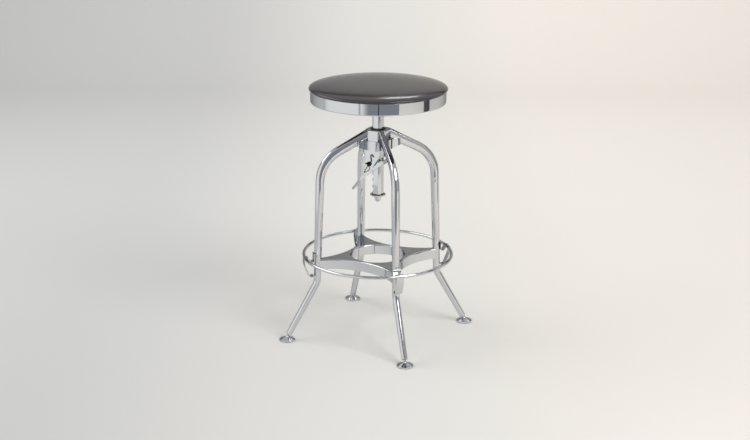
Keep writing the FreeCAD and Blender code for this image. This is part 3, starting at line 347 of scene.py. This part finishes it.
def seat_vinyl(finishes):
    """Calendered PVC upholstery, embossed with a fine leather grain: a sheen that sharpens at low angles.

    The real grain is about 0.6 mm; it is drawn at the size the property gives, so that it shows in a render.
    """
    material, tree, principled, place = new_material("embossed_vinyl", Specular_IOR_Level=0.5, IOR=1.52)
    cells = add_node(tree, "ShaderNodeTexVoronoi", {
        "Vector": place, "Scale": 1.0 / finishes.vinyl_grain, "Randomness": 0.9}, feature="DISTANCE_TO_EDGE")
    creases = add_node(tree, "ShaderNodeMapRange", {
        "Value": cells.outputs["Distance"], "From Min": 0.0, "From Max": 0.16, "To Min": 0.0, "To Max": 1.0})
    patches = add_node(tree, "ShaderNodeTexNoise", {"Vector": place, "Scale": 30.0, "Detail": 4.0})
    tone = add_node(tree, "ShaderNodeMix", {
        0: patches.outputs["Fac"],
        6: rgba(np.array(finishes.vinyl_colour) * 0.96), 7: rgba(np.array(finishes.vinyl_colour) * 1.04)},
        data_type="RGBA")
    # Painted shade: the grain's creases are drawn 12% darker than the vinyl around them.
    shade = add_node(tree, "ShaderNodeMix", {
        0: creases.outputs["Result"], 6: rgba(np.array(finishes.vinyl_colour) * 0.88), 7: tone.outputs[2]},
        data_type="RGBA")
    tree.links.new(shade.outputs[2], principled.inputs["Base Color"])
    wear = add_node(tree, "ShaderNodeMapRange", {
        "Value": patches.outputs["Fac"], "From Min": 0.3, "From Max": 0.7,
        "To Min": finishes.vinyl_roughness - 0.01, "To Max": finishes.vinyl_roughness + 0.03})
    tree.links.new(wear.outputs["Result"], principled.inputs["Roughness"])
    bump = add_node(tree, "ShaderNodeBump", {
        "Height": creases.outputs["Result"], "Strength": 0.08, "Distance": 0.04 * MM})
    tree.links.new(bump.outputs["Normal"], principled.inputs["Normal"])
    return material


def moulded_nylon(finishes):
    """Black injection moulded nylon: matt, with a fine spark-eroded texture."""
    material, tree, principled, place = new_material(
        "moulded_nylon", Base_Color=rgba(finishes.nylon_colour), IOR=1.53)
    grain = add_node(tree, "ShaderNodeTexNoise", {"Vector": place, "Scale": 1800.0, "Detail": 2.0})
    rough = add_node(tree, "ShaderNodeMapRange", {
        "Value": grain.outputs["Fac"], "From Min": 0.3, "From Max": 0.7, "To Min": 0.42, "To Max": 0.56})
    tree.links.new(rough.outputs["Result"], principled.inputs["Roughness"])
    bump = add_node(tree, "ShaderNodeBump", {
        "Height": grain.outputs["Fac"], "Strength": 0.3, "Distance": 0.03 * MM})
    tree.links.new(bump.outputs["Normal"], principled.inputs["Normal"])
    return material


def foot_rubber(finishes):
    """Moulded rubber pads: dull black with dust in the pores."""
    material, tree, principled, place = new_material("moulded_rubber", IOR=1.5)
    dust = add_node(tree, "ShaderNodeTexNoise", {"Vector": place, "Scale": 300.0, "Detail": 6.0})
    tone = add_node(tree, "ShaderNodeMix", {
        0: dust.outputs["Fac"], 6: rgba(finishes.rubber_colour),
        7: rgba(np.array(finishes.rubber_colour) * 1.7)}, data_type="RGBA")
    tree.links.new(tone.outputs[2], principled.inputs["Base Color"])
    rough = add_node(tree, "ShaderNodeMapRange", {
        "Value": dust.outputs["Fac"], "From Min": 0.3, "From Max": 0.7, "To Min": 0.7, "To Max": 0.9})
    tree.links.new(rough.outputs["Result"], principled.inputs["Roughness"])
    return material


def zinc_plate(finishes):
    """Bright zinc plated steel: a cool grey metal with soft spangle and a drawn grain."""
    material, tree, principled, place = new_material("zinc_plated_steel", Metallic=1.0)
    spangle = add_node(tree, "ShaderNodeTexVoronoi", {"Vector": place, "Scale": 160.0})
    tone = add_node(tree, "ShaderNodeMix", {
        0: spangle.outputs["Distance"], 6: rgba(np.array(finishes.zinc_colour) * 0.85),
        7: rgba(np.array(finishes.zinc_colour) * 1.1)}, data_type="RGBA")
    tree.links.new(tone.outputs[2], principled.inputs["Base Color"])
    rough = add_node(tree, "ShaderNodeMapRange", {
        "Value": spangle.outputs["Distance"], "To Min": 0.28, "To Max": 0.45})
    tree.links.new(rough.outputs["Result"], principled.inputs["Roughness"])
    return material


def stained_plywood(finishes):
    """Birch plywood with a black stain: long grain on the faces, and thin plies along the edge."""
    material, tree, principled, place = new_material("stained_plywood", IOR=1.5)
    stretched = add_node(tree, "ShaderNodeMapping", {"Vector": place, "Scale": (1.0, 9.0, 9.0)})
    grain = add_node(tree, "ShaderNodeTexNoise", {
        "Vector": stretched.outputs["Vector"], "Scale": 28.0, "Detail": 7.0, "Distortion": 1.2})
    plies = add_node(tree, "ShaderNodeTexWave", {
        "Vector": place, "Scale": 1.0 / (2 * math.pi * 0.38 * MM), "Distortion": 0.4}, bands_direction="Z")
    mixed = add_node(tree, "ShaderNodeMath", {
        0: grain.outputs["Fac"], 1: plies.outputs["Fac"]}, operation="MULTIPLY")
    tone = add_node(tree, "ShaderNodeMix", {
        0: mixed.outputs["Value"], 6: rgba(np.array(finishes.board_colour) * 0.6),
        7: rgba(np.array(finishes.board_colour) * 1.5)}, data_type="RGBA")
    tree.links.new(tone.outputs[2], principled.inputs["Base Color"])
    rough = add_node(tree, "ShaderNodeMapRange", {
        "Value": grain.outputs["Fac"], "From Min": 0.3, "From Max": 0.7, "To Min": 0.5, "To Max": 0.7})
    tree.links.new(rough.outputs["Result"], principled.inputs["Roughness"])
    bump = add_node(tree, "ShaderNodeBump", {
        "Height": grain.outputs["Fac"], "Strength": 0.3, "Distance": 0.1 * MM})
    tree.links.new(bump.outputs["Normal"], principled.inputs["Normal"])
    return material


def blackened_wire(finishes):
    """Spring steel, drawn, wound and oil blackened: dark, half gloss, with fine draw lines."""
    material, tree, principled, place = new_material(
        "blackened_spring_steel", Base_Color=rgba(finishes.spring_colour), Metallic=0.85)
    scale = add_node(tree, "ShaderNodeTexNoise", {"Vector": place, "Scale": 900.0, "Detail": 3.0})
    rough = add_node(tree, "ShaderNodeMapRange", {
        "Value": scale.outputs["Fac"], "From Min": 0.3, "From Max": 0.7, "To Min": 0.26, "To Max": 0.42})
    tree.links.new(rough.outputs["Result"], principled.inputs["Roughness"])
    return material


def dress(material, *nodes):
    """Gives CAD nodes one material in every slot."""
    for name in nodes:
        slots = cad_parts[name].material_slots
        for entry in slots:
            entry.material = material
        if not slots:
            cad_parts[name].data.materials.append(material)


def each_leg(*stems):
    return [stem + "_" + quarter for stem in stems for quarter in QUARTERS]


class STOOL_OT_finish_metal(Operator):
    """Finish the frame, the post, the lever and the hidden parts"""

    bl_idname = "stool.finish_metal"
    bl_label = "Finish CAD parts"

    def execute(self, context):
        finishes = context.scene.stool_finishes
        chrome = polished_chrome(finishes)
        pressing = polished_chrome(finishes, "chromed_pressing", softer=0.02)
        dress(chrome, *each_leg("leg", "foot_plug", "glide_cup", "ring_bracket"), "footrest_ring",
              "end_washer",
              "cap_nut", "pawl_pin", "yoke_pin", "lever_pivot_pin", "lifting_post")
        dress(pressing, "hub_collar", "upper_brace", "lower_brace", "lever_bracket", "lever",
              "lever_side_plate")
        dress(moulded_nylon(finishes), "guide_liner", "upper_bush", "lower_bush")
        dress(foot_rubber(finishes), *each_leg("glide_pad"))
        dress(zinc_plate(finishes), "spindle", "seat_flange", "seat_screws")
        dress(stained_plywood(finishes), "seat_board")
        return {"FINISHED"}


def cushion_profile(sizes, steps):
    """Radius and height of the pad from its top centre, over the shoulder, to the middle of its lower face.

    The shoulder is a superellipse: r = R cos(t)^(2/p), z = belly + h sin(t)^(2/p). Under the widest line the
    cover curves in by the draw-in along a quarter of an ellipse, and then runs flat to the middle.
    """
    radius = CUSHION_HIGH.x
    belly = CUSHION_LOW.z + sizes.belly_height
    t = np.linspace(math.pi / 2, 0, steps)
    power = 2 / sizes.squareness
    over_r = radius * np.clip(np.cos(t), 0, 1) ** power
    over_z = belly + (CUSHION_HIGH.z - belly) * np.clip(np.sin(t), 0, 1) ** power
    u = np.linspace(0, math.pi / 2, steps // 8)[1:]
    under_r = radius - sizes.draw_in * (1 - np.cos(u))
    under_z = belly - sizes.belly_height * np.sin(u)
    flat_r = np.linspace(under_r[-1], 0, steps // 6)[1:-1]
    return (np.concatenate([over_r[1:], under_r, flat_r]),
            np.concatenate([over_z[1:], under_z, np.full(len(flat_r), CUSHION_LOW.z)]), belly)


class STOOL_OT_build_cushion(Operator):
    """Build the padded vinyl seat"""

    bl_idname = "stool.build_cushion"
    bl_label = "Seat cushion"

    def execute(self, context):
        sizes = context.scene.stool_sizes
        material = seat_vinyl(context.scene.stool_finishes)
        profile_r, profile_z, belly = cushion_profile(sizes, 140)
        columns = 432
        angles = np.linspace(0, 2 * math.pi, columns, endpoint=False)
        waves = round(2 * math.pi * CUSHION_HIGH.x / sizes.gather_spacing)
        second_waves = int(1.7 * waves)
        gather = (np.sin(waves * angles + 1.3 * np.sin(5 * angles)) * (0.6 + 0.4 * np.sin(11 * angles + 0.7))
                  + 0.4 * np.sin(second_waves * angles + 2.0))
        # The gathers are depth * (sum of sines of the angle), strongest on the widest line.
        near_edge = np.exp(-((profile_z - belly) / (3.2 * MM)) ** 2) * (profile_r > 0.9 * CUSHION_HIGH.x)
        radius = profile_r[:, None] - sizes.gather_depth * near_edge[:, None] * (0.5 + 0.5 * gather[None])
        grid = turned_surface(radius, profile_z, angles)
        rows = len(profile_r)
        points = np.concatenate([grid.reshape(-1, 3), [[0, 0, CUSHION_HIGH.z], [0, 0, CUSHION_LOW.z]]])
        first = np.arange(columns)
        last = first + (rows - 1) * columns
        fans = ((rows * columns, first), (rows * columns + 1, last[::-1]))
        quads = grid_faces(rows, columns, False, True)
        cushion = make_piece("vinyl_cushion", points, quads, material, "seat", fans)
        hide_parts("seat_cushion")
        return {"FINISHED"}


class STOOL_OT_build_band(Operator):
    """Build the seat band: a rolled sheet hoop with its joint"""

    bl_idname = "stool.build_band"
    bl_label = "Seat band"

    def execute(self, context):
        sizes = context.scene.stool_sizes
        material = polished_chrome(context.scene.stool_finishes, "rolled_chrome_band", streaks=0.12)
        outer, low, high = BAND_HIGH.x, BAND_LOW.z, BAND_HIGH.z
        sheet, lip = sizes.band_sheet, sizes.band_lip
        inner = outer - sheet
        ledge = low + sheet
        start = ((inner + outer) / 2, 0, high)
        corners = [start, (outer, 0, high), (outer, 0, low), (inner - lip, 0, low), (inner - lip, 0, ledge),
                   (inner, 0, ledge), (inner, 0, high), start]
        corner_radii = np.array([0.5, 2.0, 0.4, 0.4, 0.6, 0.5]) * MM
        profile = rounded_line(corners, corner_radii, 1.6 * MM)[:-1]
        near = BAND_JOINT + np.linspace(-1, 1, 17) * 2.0 * sizes.band_joint_width / outer
        angles = np.unique(np.concatenate([np.linspace(0, 2 * math.pi, 720, endpoint=False), near]))
        wave = sizes.band_wave * (np.sin(7 * angles + 0.4) + 0.6 * np.sin(23 * angles + 1.0)
                                  + 0.35 * np.sin(61 * angles + 2.2))
        # The outer wall is pulled in by the rolling waves, and by a groove across it at the joint.
        slot = np.clip(1.4 - np.abs(angles - BAND_JOINT) * outer / (0.5 * sizes.band_joint_width), 0, 1)
        outside = (profile[:, 0] > outer - 0.3 * MM)[:, None]
        radius = profile[:, :1] - outside * (0.8 * sheet * slot + np.maximum(wave, 0))[None]
        grid = turned_surface(radius, profile[:, 2], angles)
        quads = grid_faces(len(profile), len(angles), True, True)
        band = make_piece("seat_band_hoop", grid.reshape(-1, 3), quads, material, "seat")
        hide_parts("seat_band")
        return {"FINISHED"}


def spring_path(sizes):
    """Middle line of the lever spring: a foot, a coil round the pivot pin, and a leg with a hook.

    The coil is pivot + (5 cos a, y, 5 sin a), with y rising one pitch for each turn of a. The straight parts
    leave it along its tangent and turn with round bends.
    """
    radius, pitch = 5.0, 2.4
    ear_face = EAR_FACE / MM
    near_y = ear_face - 0.8 - sizes.spring_wire / MM / 2
    far_y = near_y - sizes.spring_turns * pitch
    leave = math.radians(-29.0)
    pivot = np.array(PIVOT) / MM
    out = np.array([-math.sin(leave), 0.0, math.cos(leave)])
    share = np.linspace(0, 1, 36 * sizes.spring_turns + 1)
    turn = leave + 2 * math.pi * sizes.spring_turns * share
    ease = share - np.sin(2 * math.pi * share) / (2 * math.pi) * 0.35
    rise = far_y + (near_y - far_y) * ease
    coil = pivot + np.stack([radius * np.cos(turn), rise, radius * np.sin(turn)], -1)
    lever_face = -14.0
    foot_turn = coil[0] - out * 20.3
    foot_end = np.array([foot_turn[0], lever_face, foot_turn[2]])
    foot = rounded_line([foot_end, foot_turn, coil[0]], [2.4], 0.8)[:-1]
    hook_corners = [coil[-1], coil[-1] + out * 15.3, pivot + [9.8, near_y, 20.0],
                    pivot + [10.2, near_y, 33.5], pivot + [18.1, near_y, 22.2],
                    pivot + [18.1, ear_face + 1.75, 22.2]]
    hook = rounded_line(hook_corners, [4.0, 4.0, 2.6, 1.6], 0.8)[1:]
    return np.concatenate([foot, coil, hook]) * MM, foot_turn * MM


class STOOL_OT_build_spring(Operator):
    """Build the lever's return spring"""

    bl_idname = "stool.build_spring"
    bl_label = "Lever spring"

    def execute(self, context):
        sizes = context.scene.stool_sizes
        material = blackened_wire(context.scene.stool_finishes)
        path, foot_turn = spring_path(sizes)
        reference = (0.62, 0.7, -0.35)
        spring = tube_piece("return_spring", path, sizes.spring_wire / 2, 20, reference, material, None)
        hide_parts("lever_spring")
        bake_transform(spring)
        return {"FINISHED"}


def lateral_axes(yaw):
    """The studio's axes on the floor: to the right of the picture, and away from the camera."""
    right = np.array([math.cos(yaw), math.sin(yaw), 0.0])
    away = np.array([-math.sin(yaw), math.cos(yaw), 0.0])
    return right, away


CAMERA_PLACE = Vector((1.6198, -2.9918, 1.3922))
CAMERA_YAW = math.radians(28.553)
CAMERA_PITCH = math.radians(17.634)
CAMERA_ROLL = math.radians(0.228)
CAMERA_LENS = 65.49
PICTURE_YAW = math.radians(28.433)


def board(name, spot, bearing, width, height, colour, fades_to=None):
    """An upright board, lit by itself, that shows only in mirror surfaces.

    It faces the stool from the given bearing, and its points are spot + a * across + b * up. Where a second
    colour is given, the board fades to it along its left quarter.
    """
    yaw = PICTURE_YAW + math.radians(bearing)
    across = np.array([math.cos(yaw), math.sin(yaw), 0.0])
    a = np.linspace(-0.5, 0.5, 2)[:, None, None] * width * across
    b = np.linspace(0.0, 1.0, 2)[None, :, None] * height * np.array([0.0, 0.0, 1.0])
    points = (np.asarray(spot, float) + a + b).reshape(-1, 3)
    material, tree, principled, place = new_material(name + "_card")
    tree.nodes.remove(principled)
    # The board glows though it is no lamp: its colour is a painted reflection.
    glow = add_node(tree, "ShaderNodeEmission", {"Color": rgba(colour), "Strength": 1.0})
    if fades_to:
        turned = add_node(tree, "ShaderNodeMapping", {"Vector": place, "Rotation": (0.0, 0.0, -yaw)})
        split = add_node(tree, "ShaderNodeSeparateXYZ", {"Vector": turned.outputs["Vector"]})
        share = add_node(tree, "ShaderNodeMapRange", {
            "Value": split.outputs["X"], "From Min": -0.5 * width, "From Max": -0.24 * width},
            interpolation_type="SMOOTHSTEP")
        mixed = add_node(tree, "ShaderNodeMix", {
            0: share.outputs["Result"], 6: rgba(fades_to), 7: rgba(colour)}, data_type="RGBA")
        tree.links.new(mixed.outputs[2], glow.inputs["Color"])
    tree.links.new(glow.outputs["Emission"], tree.nodes["Material Output"].inputs["Surface"])
    piece = make_piece(name, points, grid_faces(2, 2, False, False), material, None)
    # Hidden from the camera, from diffuse light and from shadows, it shows only as a painted reflection in
    # mirror surfaces.
    piece.visible_camera = False
    piece.visible_diffuse = False
    piece.visible_shadow = False


def soft_lamp(name, place, target, width, height, power, colour):
    """One rectangular area lamp that faces a point."""
    data = bpy.data.lights.new(name, "AREA")
    data.shape = "RECTANGLE"
    data.size = width
    data.size_y = height
    data.energy = power
    data.color = colour
    lamp = bpy.data.objects.new(name, data)
    lamp.matrix_world = Matrix.Translation(place) @ (
        Vector(target) - Vector(place)).to_track_quat("-Z", "Y").to_matrix().to_4x4()
    bpy.context.scene.collection.objects.link(lamp)
    return lamp


def studio_point(right, away, bearing, distance, height):
    """A point of the studio; the bearing is in degrees from the camera's side, positive to the right."""
    turn = math.radians(bearing)
    flat = -away * math.cos(turn) * distance + right * math.sin(turn) * distance
    return flat + np.array([0.0, 0.0, height])


def build_sweep(studio, right, away):
    """A paper sweep: floor, quarter circle, wall, as lateral * right + depth * away + height * up."""
    front, bend, radius, top = -7.0, 3.0, 1.2, 2.36
    t = np.linspace(0, math.pi / 2, 40)
    depth = np.concatenate([
        np.linspace(front, bend, 60), bend + radius * np.sin(t[1:]), [bend + radius] * 12])
    height = np.concatenate([np.zeros(60), radius * (1 - np.cos(t[1:])), np.linspace(radius, top, 13)[1:]])
    lateral = np.linspace(-8, 8, 60)
    points = (lateral[:, None, None] * right + depth[None, :, None] * away
              + height[None, :, None] * np.array([0.0, 0.0, 1.0]))
    material, tree, principled, place = new_material(
        "matt_paper_sweep", Roughness=0.9, Specular_IOR_Level=0.1)
    turned = add_node(tree, "ShaderNodeMapping", {"Vector": place, "Rotation": (0.0, 0.0, -PICTURE_YAW)})
    split = add_node(tree, "ShaderNodeSeparateXYZ", {"Vector": turned.outputs["Vector"]})
    # Painted light: the sweep's colour runs from darker at the left, through the middle colour, to lighter at
    # the right.
    painted_shade_to_left = add_node(tree, "ShaderNodeMapRange", {
        "Value": split.outputs["X"], "From Min": -0.9, "From Max": 0.05}, interpolation_type="SMOOTHSTEP")
    painted_light_to_right = add_node(tree, "ShaderNodeMapRange", {
        "Value": split.outputs["X"], "From Min": -0.05, "From Max": 0.8}, interpolation_type="SMOOTHSTEP")
    left = add_node(tree, "ShaderNodeMix", {
        0: painted_shade_to_left.outputs["Result"], 6: rgba(studio.floor_left_painted_shade), 7: rgba(studio.floor_middle)},
        data_type="RGBA")
    both = add_node(tree, "ShaderNodeMix", {
        0: painted_light_to_right.outputs["Result"], 6: left.outputs[2], 7: rgba(studio.floor_right_painted_light)}, data_type="RGBA")
    # Painted light and shade: the colour is a little lighter further away, and darker up the wall above 0.5 m.
    painted_light_by_depth = add_node(tree, "ShaderNodeMapRange", {
        "Value": split.outputs["Y"], "From Min": -0.7, "From Max": 1.2, "To Min": 0.94, "To Max": 1.05})
    high = add_node(tree, "ShaderNodeMapRange", {
        "Value": split.outputs["Z"], "From Min": 0.5, "From Max": 1.6, "To Min": 1.0, "To Max": 0.55})
    level = add_node(tree, "ShaderNodeMath", {
        0: painted_light_by_depth.outputs["Result"], 1: high.outputs["Result"]}, operation="MULTIPLY")
    sweep_colour_with_painted_light = add_node(tree, "ShaderNodeVectorMath", {
        0: both.outputs[2], "Scale": level.outputs["Value"]}, operation="SCALE")
    tree.links.new(sweep_colour_with_painted_light.outputs["Vector"], principled.inputs["Base Color"])
    sweep = make_piece("paper_sweep", points.reshape(-1, 3),
                       grid_faces(len(lateral), len(depth), False, False), material, None)


class STOOL_OT_build_welds(Operator):
    """Build the weld beads between the collar and the four legs"""

    bl_idname = "stool.build_welds"
    bl_label = "Weld beads"

    def execute(self, context):
        bead = context.scene.stool_sizes.weld_bead
        material = polished_chrome(context.scene.stool_finishes, "plated_weld", softer=0.06)
        # A bead follows reach * outward + a cos t * across + (middle + b sin t) * up; its radius ripples.
        turn = np.linspace(WELD_START, WELD_END, 90)
        ripple = bead * (1.0 + 0.12 * np.sin(26 * turn) + 0.06 * np.sin(11 * turn + 0.8))
        for quarter, bearing in QUARTERS.items():
            outward = np.array([math.cos(math.radians(bearing)), math.sin(math.radians(bearing)), 0.0])
            across = np.array([-outward[1], outward[0], 0.0])
            path = (WELD_REACH * outward + WELD_HALF_WIDTH * np.cos(turn)[:, None] * across
                    + (WELD_MIDDLE + WELD_HALF_HEIGHT * np.sin(turn))[:, None] * np.array([0.0, 0.0, 1.0]))
            weld = tube_piece("hub_weld_" + quarter, path, ripple, 12, outward, material, "frame")
        return {"FINISHED"}


class STOOL_OT_build_studio(Operator):
    """Build the sweep, the lamps, the world and the camera"""

    bl_idname = "stool.build_studio"
    bl_label = "Studio"

    def execute(self, context):
        studio = context.scene.stool_studio
        right, away = lateral_axes(PICTURE_YAW)
        build_sweep(studio, right, away)

        def spot(bearing, distance, height):
            return studio_point(right, away, bearing, distance, height)

        # Painted reflections: glowing boards for the studio's flags, a card, a stand and the dark band above
        # the sweep, seen only in mirror surfaces.
        board("front_flag_reflection", spot(2.5, 1.35, 0.0), 2.5, 1.6, 1.1, linear("#8C8F96"), linear("#F6F6F5"))
        board("left_card_reflection", spot(-66.0, 1.4, 0.0), -66.0, 1.95, 1.1, linear("#F8F8F6"), linear("#C6C7C9"))
        board("front_stand_reflection", spot(0.6, 1.3, 0.0), 0.6, 0.03, 1.1, linear("#202022"))
        board("right_flag_reflection", spot(83.5, 1.35, 0.0), 83.5, 0.31, 1.1, linear("#505055"))
        board("sweep_gap_reflection", spot(180.0, 4.18, 2.34), 0.0, 9.0, 0.55, linear("#2A2A2C"))
        target = (0.0, 0.0, 0.45)
        soft_lamp("key_softbox", spot(45.0, 2.6, 2.6), target, 1.9, 1.7, studio.key_power, (1.0, 0.99, 0.975))
        soft_lamp("fill_softbox", spot(-95.0, 2.9, 2.5), target, 3.2, 1.6, studio.fill_power,
                  (0.985, 0.99, 1.0))
        soft_lamp("back_strip", spot(175.0, 4.3, 3.25), target, 0.6, 0.3, studio.back_power, (1.0, 1.0, 1.0))
        wash = spot(180.0, 1.9, 2.4) + right * 0.9
        far_floor = spot(180.0, 4.0, 0.2) + right * 0.9
        soft_lamp("backdrop_wash", wash, far_floor, 4.0, 0.5, studio.wash_power, (1.0, 0.99, 0.975))

        world = bpy.data.worlds.new("plain_studio")
        world.use_nodes = True
        background = world.node_tree.nodes["Background"]
        background.inputs["Color"].default_value = (1.0, 1.0, 1.0, 1.0)
        background.inputs["Strength"].default_value = studio.world_level
        context.scene.world = world

        data = bpy.data.cameras.new("picture_camera")
        data.sensor_width = 36.0
        data.lens = CAMERA_LENS
        data.clip_end = 60.0
        camera = bpy.data.objects.new("picture_camera", data)
        level = math.cos(CAMERA_PITCH)
        forward = Vector((
            -math.sin(CAMERA_YAW) * level, math.cos(CAMERA_YAW) * level, -math.sin(CAMERA_PITCH)))
        side = Vector((math.cos(CAMERA_YAW), math.sin(CAMERA_YAW), 0.0))
        above = side.cross(forward)
        turned_side = side * math.cos(CAMERA_ROLL) + above * math.sin(CAMERA_ROLL)
        turned_above = above * math.cos(CAMERA_ROLL) - side * math.sin(CAMERA_ROLL)
        camera.matrix_world = Matrix.Translation(CAMERA_PLACE) @ Matrix(
            (turned_side, turned_above, -forward)).transposed().to_4x4()
        bpy.context.scene.collection.objects.link(camera)
        context.scene.camera = camera
        context.scene.view_settings.view_transform = "Standard"
        return {"FINISHED"}


class STOOL_PT_panel(Panel):
    """Lists the stool's pieces in the sidebar"""

    bl_idname = "STOOL_PT_panel"
    bl_label = "Swivel stool"
    bl_space_type = "VIEW_3D"
    bl_region_type = "UI"
    bl_category = "Stool"

    def draw(self, context):
        for operator in STEPS:
            self.layout.operator(operator.bl_idname)
        for group in (context.scene.stool_sizes, context.scene.stool_finishes, context.scene.stool_studio):
            box = self.layout.box()
            for key in group.bl_rna.properties.keys():
                if key not in ("rna_type", "name"):
                    box.prop(group, key)


STEPS = (STOOL_OT_build_studio, STOOL_OT_finish_metal, STOOL_OT_build_cushion, STOOL_OT_build_band,
         STOOL_OT_build_spring, STOOL_OT_build_welds)
CLASSES = (StoolSizes, StoolFinishes, StoolStudio, *STEPS, STOOL_PT_panel)


def register():
    for entry in CLASSES:
        bpy.utils.register_class(entry)
    bpy.types.Scene.stool_sizes = PointerProperty(type=StoolSizes)
    bpy.types.Scene.stool_finishes = PointerProperty(type=StoolFinishes)
    bpy.types.Scene.stool_studio = PointerProperty(type=StoolStudio)


def unregister():
    del bpy.types.Scene.stool_studio
    del bpy.types.Scene.stool_finishes
    del bpy.types.Scene.stool_sizes
    for entry in reversed(CLASSES):
        bpy.utils.unregister_class(entry)


def main():
    register()
    bpy.ops.stool.build_studio()
    bpy.ops.stool.finish_metal()
    bpy.ops.stool.build_cushion()
    bpy.ops.stool.build_band()
    bpy.ops.stool.build_spring()
    bpy.ops.stool.build_welds()


if __name__ == "__main__":
    main()
